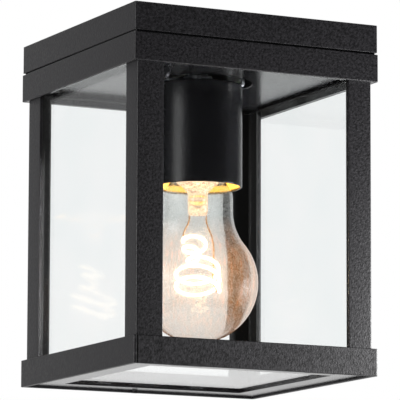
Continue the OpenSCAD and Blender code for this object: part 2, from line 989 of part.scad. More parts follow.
module centre_contact() {
    leaf_w = 6;
    leaf_t = 0.5;
    color(brass)
        translate([0, leaf_w / 2, 0])
            rotate([90, 0, 0])
                linear_extrude(leaf_w)
                    polygon([
                        [-8, z_contact], [-3.4, z_contact], [-3.4, z_contact - 1.6],
                        [-2.2, z_tip + leaf_t], [3, z_tip + leaf_t], [3, z_tip], [-2.5, z_tip],
                        [-3.9, z_contact - 1.7], [-3.9, z_contact - leaf_t], [-8, z_contact - leaf_t]
                    ]);
}

// ---------- bulb ----------

module tip_contact() {
    color(brass)
        rotate_extrude()
            polygon([
                [0, z_tip], [tip_r - 0.8, z_tip], [tip_r, z_tip - 0.7],
                [tip_r, z_tip - tip_h], [0, z_tip - tip_h]
            ]);
}

module cap_insulator() {
    top = z_tip - tip_h;
    color("#17130f")
        rotate_extrude()
            polygon([
                [0, top], [tip_r + 0.4, top], [insulator_r, top - insulator_h],
                [0, top - insulator_h]
            ]);
}

// Rolled thread of the cap: a wave of the thread's pitch between crest and root
function thread_r(d) =
    cap_thread_d / 2 - thread_depth / 2 - thread_depth / 2 * cos(360 * d / thread_pitch);

module bulb_cap() {
    lead_in = 1.8;
    thread_h = 4.5 * thread_pitch;
    steps = 36;
    outer = concat(
        [[insulator_r, z_cap_top]],
        [for (i = [0 : steps])
            [thread_r(i / steps * thread_h), z_cap_top - lead_in - i / steps * thread_h]],
        [[cap_thread_d / 2, z_seal]]
    );
    inner = [for (i = [len(outer) - 1 : -1 : 0]) outer[i] - [cap_sheet_t, 0]];
    color("#c9c6bd")
        rotate_extrude()
            polygon(concat(outer, inner));
}

// Half outline of the glass, drawn in by d
module bulb_outline(d) {
    union() {
        translate([0, z_globe])
            circle(globe_r - d);
        difference() {
            polygon([[0, z_globe], [neck_r + neck_fillet, z_fillet], [0, z_fillet]]);
            translate([neck_r + neck_fillet, z_fillet])
                circle(neck_fillet + d);
        }
        translate([0, z_fillet])
            square([neck_r - d, z_shoulder - z_fillet]);
        translate([neck_r - shoulder_r, z_shoulder])
            circle(shoulder_r - d);
        translate([0, z_shoulder])
            square([neck_r - shoulder_r, z_seal - z_shoulder + 1]);
    }
}

module bulb_glass() {
    color(glass_tint)
        rotate_extrude()
            intersection() {
                difference() {
                    bulb_outline(0);
                    bulb_outline(bulb_glass_t);
                }
                translate([0, z_globe - globe_r - 1])
                    square([globe_r + 1, z_seal - z_globe + globe_r + 1]);
            }
}

module bulb_stem() {
    rim = neck_r - shoulder_r + sqrt(pow(shoulder_r - bulb_glass_t, 2) - pow(z_seal - z_shoulder, 2));
    color([0.9, 0.88, 0.8, 0.5])
        rotate_extrude()
            polygon([
                [rim - 0.1, z_seal], [rim - 1.4, z_seal - 1.2], [stem_r + 1.4, z_seal - 3],
                [stem_r, z_seal - 5.5], [stem_r + 0.5, z_stem_bot + 2], [stem_r, z_stem_bot],
                [0, z_stem_bot], [0, z_stem_bot + 2], [stem_r - stem_wall, z_stem_bot + 3],
                [stem_r - stem_wall, z_seal - 5.5], [stem_r + 0.4, z_seal - 2.2],
                [rim - 2.4, z_seal - 0.4], [rim - 2.2, z_seal]
            ]);
}

// Spiral of the filament: a small loop, a narrow neck and a wide coil, all leaning a little
function ease(u, from, to) =
    let (t = max(0, min(1, (u - from) / (to - from)))) t * t * (3 - 2 * t);
function filament_radius(u) =
    filament_top_r + (filament_neck_r - filament_top_r) * ease(u, 0.2, 0.36)
    + (filament_r - filament_neck_r) * ease(u, 0.36, 0.58);
function filament_fall(u) =
    filament_drop * lookup(u, [[0, 0], [0.22, 0.13], [0.36, 0.31], [0.56, 0.55], [1, 1]]);
function filament_point(u) =
    let (a = 180 + 360 * filament_turns * u, r = filament_radius(u))
        [filament_top_x * (1 - ease(u, 0.2, 0.5)) + r * cos(a), r * sin(a),
         z_filament_top - filament_fall(u) - filament_tilt * r * sin(a)];
filament_rings = filament_turns * filament_steps;
filament_path = [for (i = [0 : filament_rings]) filament_point(i / filament_rings)];

module bulb_leads() {
    first = filament_path[0];
    last = filament_path[filament_rings];
    reach = filament_d / 2 + slide_fit;
    top = z_stem_bot - slide_fit;
    short_lead = [
        [-lead_x, 0, top], [-lead_x, 0, top - 2],
        first + [0.4, 0, 4], first + [0, 0, reach]
    ];
    long_lead = [
        [lead_x, 0, top], [lead_x, 0, top - 2], [lead_x + 0.5, 0.4, top - 4.5],
        [filament_top_r + 1.9, 1.4, z_filament_top], [filament_r - 3, 1.2, z_filament_top - 12],
        [filament_r - 3, 0.6, last[2] + 5], last + [-reach - lead_d / 2, 0, 0]
    ];
    color("#b08d57")
        rotate([0, 0, bulb_turn])
            for (points = [short_lead, long_lead])
                sweep(route(points, 3), lead_d / 2, [0, 1, 0]);
}

module bulb_filament() {
    color("#ffd27a")
        rotate([0, 0, bulb_turn])
            sweep(filament_path, filament_d / 2, [0, 0, 1]);
}

ceiling_plate();
cable_grommet();
holder_bridge();
bridge_rivets();
hanging_studs();
stud_spacers();
stud_washers();
cap_nuts();
terminal_block();
terminal_screws();
earth_stud();
earth_wire();
live_wire();
neutral_wire();
roof_band();
roof_plate();
gap_collar();
pane_clips();
post_front_left();
post_front_right();
post_back_right();
post_back_left();
seal_front_left();
seal_front_right();
seal_back_right();
seal_back_left();
pane_front();
pane_right();
pane_back();
pane_left();
pane_channels();
base_band();
hinge_brackets();
hinge_pins();
magnet_holder();
catch_magnet();
bottom_frame();
bottom_glass();
bottom_clips();
lampholder_tube();
holder_nipple();
nipple_nut();
holder_cap();
holder_core();
holder_sleeve();
screw_shell();
centre_contact();
tip_contact();
cap_insulator();
bulb_cap();
bulb_glass();
bulb_stem();
bulb_leads();
bulb_filament();
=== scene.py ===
import json
import math
import bpy
import bmesh
from mathutils import Matrix, Vector

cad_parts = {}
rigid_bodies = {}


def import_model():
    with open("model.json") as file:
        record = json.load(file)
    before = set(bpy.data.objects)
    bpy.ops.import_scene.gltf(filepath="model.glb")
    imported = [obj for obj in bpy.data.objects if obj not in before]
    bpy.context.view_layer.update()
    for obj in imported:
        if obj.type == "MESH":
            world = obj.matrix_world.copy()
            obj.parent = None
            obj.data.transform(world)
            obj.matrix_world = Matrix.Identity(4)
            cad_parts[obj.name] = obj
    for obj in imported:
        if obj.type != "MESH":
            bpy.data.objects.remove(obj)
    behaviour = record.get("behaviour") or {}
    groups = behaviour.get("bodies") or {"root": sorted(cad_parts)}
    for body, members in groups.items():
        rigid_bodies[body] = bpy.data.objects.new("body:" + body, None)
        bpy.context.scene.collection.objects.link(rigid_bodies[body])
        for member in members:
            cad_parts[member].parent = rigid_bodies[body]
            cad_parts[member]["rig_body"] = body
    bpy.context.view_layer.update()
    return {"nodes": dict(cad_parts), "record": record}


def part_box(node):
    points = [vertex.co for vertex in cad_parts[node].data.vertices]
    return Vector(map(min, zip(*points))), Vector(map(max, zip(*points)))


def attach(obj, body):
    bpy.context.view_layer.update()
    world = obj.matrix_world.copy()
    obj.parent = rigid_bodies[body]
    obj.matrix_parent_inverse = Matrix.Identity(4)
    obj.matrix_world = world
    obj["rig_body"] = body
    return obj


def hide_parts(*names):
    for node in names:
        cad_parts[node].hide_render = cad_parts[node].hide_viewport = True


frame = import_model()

mm = 0.001
nodes = frame["nodes"]
scene = bpy.context.scene

# the photograph's view: a long lens from the left and a little below
cameraSettings = {
    "place": (-0.8094, -1.6218, -0.3586),
    "turn": -26.569,
    "tiltUp": 8.659,
    "roll": 0.177,
    "lens": 332.2,
}


def addCamera(s):
    data = bpy.data.cameras.new("photoCamera")
    data.lens = s["lens"]
    data.sensor_width = 36
    data.clip_end = 20
    camera = bpy.data.objects.new("photoCamera", data)
    scene.collection.objects.link(camera)
    camera.matrix_world = (
        Matrix.Translation(s["place"])
        @ Matrix.Rotation(math.radians(s["turn"]), 4, "Z")
        @ Matrix.Rotation(math.radians(90 + s["tiltUp"]), 4, "X")
        @ Matrix.Rotation(math.radians(s["roll"]), 4, "Z")
    )
    scene.camera = camera


addCamera(cameraSettings)
print("camera stands")


# colours are given as they show on a screen, 0 to 255
def tone(r, g, b):
    def one(c):
        c = c / 255
        return c / 12.92 if c < 0.04045 else ((c + 0.055) / 1.055) ** 2.4

    return (one(r), one(g), one(b), 1)


def newFinish(name):
    material = bpy.data.materials.new(name)
    material.use_nodes = True
    tree = material.node_tree
    where = tree.nodes.new("ShaderNodeTexCoord").outputs["Object"]
    return material, tree, tree.nodes["Principled BSDF"], where


# noise whose lumps are about size across, in metres
def grain(tree, where, size, detail=2.0, stretch=None):
    if stretch:
        mapping = tree.nodes.new("ShaderNodeMapping")
        mapping.inputs["Scale"].default_value = stretch
        tree.links.new(where, mapping.inputs["Vector"])
        where = mapping.outputs["Vector"]
    noise = tree.nodes.new("ShaderNodeTexNoise")
    noise.inputs["Scale"].default_value = 1 / size
    noise.inputs["Detail"].default_value = detail
    tree.links.new(where, noise.inputs["Vector"])
    return noise.outputs["Fac"]


# from low to high, while the value goes from start to end
def spread(tree, value, low, high, start=0.35, end=0.65):
    node = tree.nodes.new("ShaderNodeMapRange")
    node.inputs["From Min"].default_value = start
    node.inputs["From Max"].default_value = end
    node.inputs["To Min"].default_value = low
    node.inputs["To Max"].default_value = high
    tree.links.new(value, node.inputs["Value"])
    return node.outputs["Result"]


def blendTones(tree, value, first, second):
    node = tree.nodes.new("ShaderNodeMix")
    node.data_type = "RGBA"
    node.inputs["A"].default_value = first
    node.inputs["B"].default_value = second
    tree.links.new(value, node.inputs["Factor"])
    return node.outputs["Result"]


def roughen(tree, shader, height, depth):
    node = tree.nodes.new("ShaderNodeBump")
    node.inputs["Distance"].default_value = depth
    node.inputs["Strength"].default_value = 1.0
    tree.links.new(height, node.inputs["Height"])
    tree.links.new(node.outputs["Normal"], shader.inputs["Normal"])


# base colour between two near tones, wherever the noise says
def paint(tree, shader, noise, first, second):
    tree.links.new(blendTones(tree, spread(tree, noise, 0, 1), first, second), shader.inputs["Base Color"])


# each value is a number or the output of another node
def reckon(tree, operation, *values):
    node = tree.nodes.new("ShaderNodeMath")
    node.operation = operation
    for place, value in zip(node.inputs, values):
        if isinstance(value, (int, float)):
            place.default_value = value
        else:
            tree.links.new(value, place)
    return node.outputs["Value"]


def heightOf(tree, where):
    axes = tree.nodes.new("ShaderNodeSeparateXYZ")
    tree.links.new(where, axes.inputs["Vector"])
    return axes.outputs["Z"]


def mixShaders(tree, share, first, second):
    node = tree.nodes.new("ShaderNodeMixShader")
    tree.links.new(share, node.inputs["Fac"])
    tree.links.new(first, node.inputs[1])
    tree.links.new(second, node.inputs[2])
    return node.outputs["Shader"]


# where share is 1 the surface isn't there
def fadeOut(tree, shader, share):
    clear = tree.nodes.new("ShaderNodeBsdfTransparent")
    mixed = mixShaders(tree, share, shader.outputs["BSDF"], clear.outputs["BSDF"])
    tree.links.new(mixed, tree.nodes["Material Output"].inputs["Surface"])


# light from the lamps passes straight through, as it does through thin glass
def letLampsThrough(tree, shader):
    path = tree.nodes.new("ShaderNodeLightPath")
    fadeOut(tree, shader, path.outputs["Is Shadow Ray"])


def makeClear(shader, ior, roughness=0.0):
    shader.inputs["Roughness"].default_value = roughness
    shader.inputs["IOR"].default_value = ior
    shader.inputs["Transmission Weight"].default_value = 1.0


# a finish with two near tones, a rough patchiness and a fine relief
def mottled(name, first, second, rough, patch, fine, depth, metal=0.0):
    material, tree, shader, where = newFinish(name)
    patches = grain(tree, where, patch, 3)
    lumps = grain(tree, where, fine, 2)
    paint(tree, shader, patches, first, second)
    tree.links.new(spread(tree, patches, rough[0], rough[1]), shader.inputs["Roughness"])
    shader.inputs["Metallic"].default_value = metal
    roughen(tree, shader, lumps, depth)
    return material, tree, shader


def makeCoat(name, s):
    material, _, shader = mottled(
        name, s["dark"], s["light"], s["roughness"], s["patch"], s["sand"], s["relief"]
    )
    shader.inputs["IOR"].default_value = s["ior"]
    return material


# fine sandy powder coat of the sheet metal
powderCoat = {
    "dark": tone(8, 7, 10),
    "light": tone(25, 23, 28),
    "roughness": (0.38, 0.50),
    "patch": 1.3 * mm,
    "sand": 0.9 * mm,
    "relief": 0.125 * mm,
    "ior": 1.5,
}

# smooth satin paint of the tube and the small fittings
satinPaint = {
    "dark": tone(5, 5, 7),
    "light": tone(8, 8, 11),
    "roughness": (0.21, 0.23),
    "patch": 2.5 * mm,
    "sand": 0.9 * mm,
    "relief": 0.0008 * mm,
    "ior": 1.46,
}

# sheet that was coated lying flat: smoother, so it mirrors at a low angle
flatCoat = {
    "dark": tone(22, 22, 25),
    "light": tone(28, 28, 31),
    "roughness": (0.17, 0.19),
    "patch": 9 * mm,
    "sand": 3 * mm,
    "relief": 0.0006 * mm,
    "ior": 1.74,
}

# window glass of the panes
floatGlass = {"first": tone(254, 255, 255), "second": tone(252, 254, 254), "wave": 30 * mm, "ior": 1.33}


def makeFloatGlass(s):
    material, tree, shader, where = newFinish("floatGlass")
    paint(tree, shader, grain(tree, where, s["wave"], 1), s["first"], s["second"])
    makeClear(shader, s["ior"])
    letLampsThrough(tree, shader)
    return material


# clear lamp glass with a faint haze: fine matt specks between polished ground. Its emission
# paints the spiral's light on the glass: a painted warm glow in the blown part, strongest beside the spiral
lampGlass = {
    "first": tone(237, 238, 237),
    "second": tone(234, 235, 233),
    "ior": 1.45,
    "streak": 6 * mm,
    "relief": 0.02 * mm,
    "speck": 0.3 * mm,
    "haze": 0.3,
    "hazeFrom": 0.64,  # share of the noise where a speck starts, and where it is whole
    "hazeTo": 0.68,
    "thread": 1.2 * mm,
    "paintedThreadGlow": 0.15,
    "amber": tone(255, 146, 66),
    "glow": tone(255, 182, 112),
    "paintedGlowHigh": 0.1,
    "glowFrom": -92 * mm,
    "glowTo": -112 * mm,
    "fadeFrom": -132 * mm,
    "fadeTo": -150 * mm,
    "faded": 0.5,
}


def makeLampGlass(s):
    material, tree, shader, where = newFinish("lampGlass")
    streaks = grain(tree, where, s["streak"], 3, (1, 1, 0.16))
    specks = grain(tree, where, s["speck"], 0)
    paint(tree, shader, streaks, s["first"], s["second"])
    makeClear(shader, s["ior"])
    haze = spread(tree, specks, 0, s["haze"], s["hazeFrom"], s["hazeTo"])
    tree.links.new(haze, shader.inputs["Roughness"])
    # painted reflection: the spiral's light, painted as emission in thin upright threads of amber
    threads = spread(tree, grain(tree, where, s["thread"], 2, (1, 1, 0.06)), 0, 1, 0.5, 0.7)
    tree.links.new(blendTones(tree, threads, s["glow"], s["amber"]), shader.inputs["Emission Color"])
    # painted glow: a soft warm emission along the streaks, whole from glowTo to fadeFrom, none above
    # glowFrom, half at fadeTo
    soft = spread(tree, streaks, 0.45 * s["paintedGlowHigh"], s["paintedGlowHigh"], 0.4, 0.66)
    both = reckon(tree, "MULTIPLY_ADD", threads, s["paintedThreadGlow"], soft)
    height = heightOf(tree, where)
    below = spread(tree, height, s["faded"], 1, s["fadeTo"], s["fadeFrom"])
    lit = reckon(tree, "MULTIPLY", spread(tree, height, 1, 0, s["glowTo"], s["glowFrom"]), below)
    tree.links.new(reckon(tree, "MULTIPLY", lit, both), shader.inputs["Emission Strength"])
    roughen(tree, shader, streaks, s["relief"])
    letLampsThrough(tree, shader)
    return material


# the pressed glass foot: milky from the pinch, with a painted warm glow (emission) for the spiral's light
# below that fills it
stemGlass = {
    "first": tone(255, 247, 236),
    "second": tone(255, 241, 226),
    "crumb": 1.0 * mm,
    "roughness": 0.12,
    "ior": 1.45,
    "glow": tone(255, 227, 202),
    "low": 0.06,
    "high": 0.36,
}


def makeStemGlass(s):
    material, tree, shader, where = newFinish("stemGlass")
    crumbs = grain(tree, where, s["crumb"], 3, (1, 1, 0.7))
    paint(tree, shader, crumbs, s["first"], s["second"])
    makeClear(shader, s["ior"], s["roughness"])
    shader.inputs["Emission Color"].default_value = s["glow"]
    # painted glow: emission strength rises and falls with the crumbs
    tree.links.new(spread(tree, crumbs, s["low"], s["high"], 0.42, 0.62), shader.inputs["Emission Strength"])
    return material


# the sleeve over the glowing strip: white-hot, a little uneven along its length
glowStrip = {
    "first": tone(255, 214, 150),
    "second": tone(255, 230, 180),
    "roughness": 0.5,
    "glow": tone(255, 232, 196),
    "low": 3.4,
    "high": 4.6,
    "spots": 2.4 * mm,
}


def makeGlowStrip(s):
    material, tree, shader, where = newFinish("glowStrip")
    spots = grain(tree, where, s["spots"], 1)
    paint(tree, shader, spots, s["first"], s["second"])
    shader.inputs["Roughness"].default_value = s["roughness"]
    shader.inputs["Emission Color"].default_value = s["glow"]
    tree.links.new(spread(tree, spots, s["low"], s["high"]), shader.inputs["Emission Strength"])
    return material


# inside of the tube: the tube's black paint, painted as lit by the lamp below: a warmer, lighter base colour
# and a painted glow (emission), most near the open end
tubeInside = {
    "first": tone(30, 26, 20),
    "second": tone(44, 36, 26),
    "roughness": 0.35,
    "patch": 3 * mm,
    "glow": tone(255, 188, 76),
    "rim": 76.0 * mm,
    "fade": 16 * mm,
    "strength": 3.0,
}


def makeTubeInside(s):
    material, tree, shader, where = newFinish("tubeInside")
    paint(tree, shader, grain(tree, where, s["patch"], 2), s["first"], s["second"])
    shader.inputs["Roughness"].default_value = s["roughness"]
    height = heightOf(tree, where)
    glow = spread(tree, height, s["strength"], 0, -s["rim"], -s["rim"] + s["fade"])
    # the painted glow fades out just before the rim, so the rim itself stays dark
    edge = spread(tree, height, 0.04, 1, -s["rim"] + 0.3 * mm, -s["rim"] + 1.1 * mm)
    shader.inputs["Emission Color"].default_value = s["glow"]
    tree.links.new(reckon(tree, "MULTIPLY", glow, edge), shader.inputs["Emission Strength"])
    return material


# the earth wire's sheath carries a yellow stripe round its green
earthSheath = {
    "dark": tone(84, 138, 52), "light": tone(96, 150, 60),
    "green": tone(88, 142, 54), "yellow": tone(216, 196, 62), "stripes": 70,
}


def makeEarthSheath(s):
    material, tree, shader = mottled(
        "earthSheath", s["dark"], s["light"], (0.4, 0.5), 3 * mm, 0.5 * mm, 0.01 * mm
    )
    where = tree.nodes["Texture Coordinate"].outputs["Object"]
    bands = tree.nodes.new("ShaderNodeTexWave")
    bands.inputs["Scale"].default_value = s["stripes"]
    tree.links.new(where, bands.inputs["Vector"])
    stripe = spread(tree, bands.outputs["Fac"], 0, 1, 0.62, 0.68)
    tree.links.new(blendTones(tree, stripe, s["green"], s["yellow"]), shader.inputs["Base Color"])
    return material


# plain finishes: two near tones, roughness, then patches, fine grain and relief in mm, and metal
plainFinishes = {
    "mouldedBlack": (tone(24, 24, 25), tone(32, 32, 33), (0.38, 0.5), 3, 0.3, 0.01, 0.0),
    "glazingStrip": (tone(9, 9, 10), tone(15, 15, 16), (0.7, 0.85), 2, 0.5, 0.01, 0.0),
    "zincPlate": (tone(160, 163, 168), tone(186, 189, 194), (0.36, 0.48), 1.6, 0.5, 0.006, 1.0),
    "plainBrass": (tone(202, 164, 92), tone(222, 188, 118), (0.22, 0.38), 2.2, 0.4, 0.006, 1.0),
    "glazedCeramic": (tone(232, 228, 218), tone(240, 237, 229), (0.16, 0.26), 4, 1.2, 0.02, 0.0),
    "mouldedWhite": (tone(226, 225, 219), tone(235, 234, 229), (0.42, 0.52), 4, 0.4, 0.01, 0.0),
    "brownSheath": (tone(92, 56, 34), tone(108, 68, 42), (0.4, 0.5), 3, 0.5, 0.01, 0.0),
    "blueSheath": (tone(44, 84, 160), tone(58, 100, 178), (0.4, 0.5), 3, 0.5, 0.01, 0.0),
    "magnetBlock": (tone(66, 66, 70), tone(84, 84, 88), (0.5, 0.65), 1.2, 0.3, 0.015, 0.0),
    "rolledCap": (tone(206, 203, 194), tone(222, 220, 212), (0.24, 0.36), 2, 0.5, 0.008, 1.0),
    "leadWire": (tone(186, 138, 92), tone(206, 160, 110), (0.3, 0.4), 1, 0.3, 0.004, 1.0),
    "darkFittingSteel": (tone(38, 38, 40), tone(50, 50, 53), (0.42, 0.55), 1.6, 0.5, 0.006, 1.0),
}


def makePlain(name):
    first, second, rough, patch, fine, depth, metal = plainFinishes[name]
    return mottled(name, first, second, rough, patch * mm, fine * mm, depth * mm, metal)[0]


# finish of each material slot
finishes = {
    "black_powder": makeCoat("powderCoat", powderCoat),
    "black_satin": makeCoat("satinPaint", satinPaint),
    "black_plastic": makePlain("mouldedBlack"),
    "glazing_strip": makePlain("glazingStrip"),
    "clear_glass": makeFloatGlass(floatGlass),
    "zinc_steel": makePlain("zincPlate"),
    "brass": makePlain("plainBrass"),
    "ceramic": makePlain("glazedCeramic"),
    "terminal_white": makePlain("mouldedWhite"),
    "wire_live": makePlain("brownSheath"),
    "wire_neutral": makePlain("blueSheath"),
    "wire_earth": makeEarthSheath(earthSheath),
    "magnet_dark": makePlain("magnetBlock"),
    "lamp_glass": makeLampGlass(lampGlass),
    "lamp_cap": makePlain("rolledCap"),
    "lamp_wire": makePlain("leadWire"),
    "filament": makeGlowStrip(glowStrip),
}
flatFinish = makeCoat("flatCoat", flatCoat)
darkFittingFinish = makePlain("darkFittingSteel")
stemFinish = makeStemGlass(stemGlass)
insideFinish = makeTubeInside(tubeInside)
print("finishes are mixed")


# material slot of each node
slotOf = {part["node"]: part["material_slot"] for part in frame["record"]["subparts"]}


# a finished mesh becomes a piece that rides with its body and stands for its CAD nodes
def addPiece(name, bm, slot, body, replaced=(), finish=None, smoothBelow=32):
    mesh = bpy.data.meshes.new(name)
    bm.to_mesh(mesh)
    bm.free()
    return dressPiece(name, mesh, slot, body, replaced, finish, smoothBelow)


def dressPiece(name, mesh, slot, body, replaced=(), finish=None, smoothBelow=32):
    piece = bpy.data.objects.new(name, mesh)
    scene.collection.objects.link(piece)
    for one in finish or [finishes[slot]]:
        mesh.materials.append(one)
    if smoothBelow:
        mesh.shade_smooth()
        mesh.set_sharp_from_angle(angle=math.radians(smoothBelow))
    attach(piece, body)
    if replaced:
        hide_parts(*replaced)
    return piece


# a welded copy of a CAD node, its flat faces joined up again
def meshFromNode(nodeName):
    bm = bmesh.new()
    bm.from_mesh(nodes[nodeName].data)
    bmesh.ops.remove_doubles(bm, verts=bm.verts, dist=0.002 * mm)
    bmesh.ops.dissolve_limit(
        bm, angle_limit=math.radians(0.6), verts=bm.verts, edges=bm.edges, use_dissolve_boundaries=False
    )
    return bm


def sharpEdges(bm, angle):
    limit = math.radians(angle)
    return [e for e in bm.edges if len(e.link_faces) == 2 and e.calc_face_angle(0) > limit]


def softenEdges(bm, width):
    made = bmesh.ops.bevel(
        bm, geom=sharpEdges(bm, 40), offset=width, offset_type="OFFSET", segments=2,
        profile=0.5, affect="EDGES", clamp_overlap=True, material=-1,
    )
    # the rounding shades smoothly in itself, and the flats beside it stay flat
    rounding = set(made["faces"])
    for face in bm.faces:
        face.smooth = True
    for edge in bm.edges:
        inRounding = [face in rounding for face in edge.link_faces]
        limit = math.radians(50 if inRounding[0] else 32)
        edge.smooth = len(set(inRounding)) == 1 and edge.calc_face_angle(0) < limit


def bodyOf(nodeName):
    return nodes[nodeName]["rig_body"]


# nodes that keep their CAD form get broken edges: name of the piece, radius of the edges
edgeWork = {
    "ceiling_plate": ("ceilingPlateFolded", 0.22 * mm),
    "roof_band": ("topBandFolded", 0.25 * mm),
    "roof_plate": ("roofPlatePressed", 0.2 * mm),
    "gap_collar": ("collarFolded", 0.2 * mm),
    "pane_clips": ("paneClipsBent", 0.15 * mm),
    "post_front_left": ("postFrontLeft", 0.25 * mm),
    "post_front_right": ("postFrontRight", 0.25 * mm),
    "post_back_right": ("postBackRight", 0.25 * mm),
    "post_back_left": ("postBackLeft", 0.25 * mm),
    "pane_channels": ("paneChannelsFolded", 0.15 * mm),
    "base_band": ("baseBandFolded", 0.25 * mm),
    "hinge_brackets": ("hingeBracketsBent", 0.12 * mm),
    "magnet_holder": ("magnetHolderBent", 0.15 * mm),
    "catch_magnet": ("catchMagnetGround", 0.25 * mm),
    "bottom_frame": ("bottomFramePressed", 0.2 * mm),
    "bottom_clips": ("bottomClipsBent", 0.12 * mm),
    "holder_bridge": ("bridgeStrapBent", 0.2 * mm),
    "stud_spacers": ("studSpacersTurned", 0.2 * mm),
    "stud_washers": ("studWashersPunched", 0.12 * mm),
    "cap_nuts": ("capNutsPlated", 0.25 * mm),
    "nipple_nut": ("nippleNut", 0.3 * mm),
    "terminal_block": ("terminalBlockMoulded", 0.3 * mm),
    "terminal_screws": ("terminalScrewHeads", 0.1 * mm),
    "holder_cap": ("holderCapMoulded", 0.25 * mm),
    "holder_core": ("holderCoreGlazed", 0.4 * mm),
    "holder_sleeve": ("holderSleeveMoulded", 0.3 * mm),
    "centre_contact": ("centreContactBent", 0.08 * mm),
}

# finishes of nodes that differ from their slot's usual one: the washers and cap nuts get a dark steel
# finish, darker than zinc, so nothing bright shows beside the tube
ownFinish = {
    "roof_plate": flatFinish,
    "bottom_frame": flatFinish,
    "stud_washers": darkFittingFinish,
    "cap_nuts": darkFittingFinish,
}

# the base band's open corner seam and the roof plate's side flanges, on their sideways faces, get the dull
# black glazing-strip finish
dullPlaces = {"seamLeft": -64.4 * mm, "seamRight": -63.3 * mm, "seamFront": -63 * mm, "flange": 62 * mm}


def isDull(nodeName, face, s):
    middle = face.calc_center_median()
    seam = nodeName == "base_band" and s["seamLeft"] < middle.x < s["seamRight"] and middle.y < s["seamFront"]
    flange = nodeName == "roof_plate" and abs(middle.x) > s["flange"]
    return (seam or flange) and abs(face.normal.x) > 0.3


def breakEdges(work):
    for nodeName, (pieceName, width) in work.items():
        bm = meshFromNode(nodeName)
        softenEdges(bm, width)
        finish = [ownFinish.get(nodeName, finishes[slotOf[nodeName]]), finishes["glazing_strip"]]
        for face in bm.faces:
            if isDull(nodeName, face, dullPlaces):
                face.material_index = 1
        addPiece(pieceName, bm, slotOf[nodeName], bodyOf(nodeName), [nodeName], finish, smoothBelow=0)


breakEdges(edgeWork)
print("sheet metal and fittings have broken edges")

# every node gets its finish, and those that stay shown keep it
for nodeName, node in nodes.items():
    node.data.materials.clear()
    node.data.materials.append(finishes[slotOf[nodeName]])
    node.data.shade_smooth()
    node.data.set_sharp_from_angle(angle=math.radians(32))


# side panes and bottom pane: float glass with ground edges
paneWork = {
    "ground": 0.5 * mm,
    "pieces": {
        "pane_front": "frontPane", "pane_right": "rightPane", "pane_back": "backPane",
        "pane_left": "leftPane", "bottom_glass": "bottomPane",
    },
}


def addPane(nodeName, pieceName, ground):
    low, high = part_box(nodeName)
    bm = bmesh.new()
    bmesh.ops.create_cube(bm, size=1)
    bmesh.ops.scale(bm, vec=high - low, verts=bm.verts)
    bmesh.ops.translate(bm, vec=(low + high) / 2, verts=bm.verts)
    bmesh.ops.bevel(
        bm, geom=bm.edges[:], offset=ground, offset_type="OFFSET", segments=1,
        profile=0.5, affect="EDGES", clamp_overlap=True, material=-1,
    )
    finish = [finishes["clear_glass"], finishes["glazing_strip"]]
    if nodeName != "bottom_glass":  # side panes' top edges get the black glazing-strip finish: painted shade for the recess that hides them, so they show no bright edge line
        for face in bm.faces:
            if face.calc_center_median().z > high.z - 1.05 * ground:
                face.material_index = 1
    addPiece(pieceName, bm, "clear_glass", bodyOf(nodeName), [nodeName], finish, smoothBelow=0)


for nodeName, pieceName in paneWork["pieces"].items():
    addPane(nodeName, pieceName, paneWork["ground"])
print("panes are cut and ground")


# a closed outline, as (radius, height) pairs, turned round the lamp's axis
def turned(outline, steps=96, closed=True):
    bm = bmesh.new()
    ring = [bm.verts.new((r, 0, z)) for r, z in outline]
    pairs = list(zip(ring, ring[1:])) + ([(ring[-1], ring[0])] if closed else [])
    edges = [bm.edges.new(pair) for pair in pairs]
    bmesh.ops.spin(
        bm, geom=ring + edges, cent=(0, 0, 0), axis=(0, 0, 1), angle=math.tau,
        steps=steps, use_merge=True, use_duplicate=False,
    )
    bmesh.ops.remove_doubles(bm, verts=bm.verts, dist=0.001 * mm)
    bmesh.ops.recalc_face_normals(bm, faces=bm.faces)
    return bm


# points of an arc in the outline's plane, angles in degrees
def arc(centre, radius, start, end, steps):
    return [
        (
            centre[0] + radius * math.cos(math.radians(start + (end - start) * k / steps)),
            centre[1] + radius * math.sin(math.radians(start + (end - start) * k / steps)),
        )
        for k in range(steps + 1)
    ]


# the tube round the lampholder: drawn steel with a rolled lower rim
tubeShape = {"wall": 1.0 * mm, "topWall": 1.2 * mm, "hole": 5.0 * mm, "edge": 0.5 * mm}


def addTube(s):
    low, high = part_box("lampholder_tube")
    r, top, bottom = high.x, high.z, low.z
    inner, lip = r - s["wall"], s["wall"] / 2
    outline = (
        [(s["hole"], top - s["topWall"]), (s["hole"], top)]
        + arc((r - s["edge"], top - s["edge"]), s["edge"], 90, 0, 5)
        + [(r, top - 3 * s["edge"]), (r, bottom + 3 * lip)]
        + arc((r - lip, bottom + lip), lip, 0, -180, 8)
        + [(inner, bottom + 3 * lip), (inner, top - s["topWall"])]
    )
    bm = turned(outline)
    piece = addPiece(
        "lampholderTubeDrawn", bm, "black_satin", "lantern", ["lampholder_tube"],
        [finishes["black_satin"], insideFinish],
    )
    for face in piece.data.polygons:
        middle = face.center
        if math.hypot(middle.x, middle.y) < inner + 0.3 * lip and middle.z < top - s["topWall"] - 0.1 * mm:
            face.material_index = 1


addTube(tubeShape)


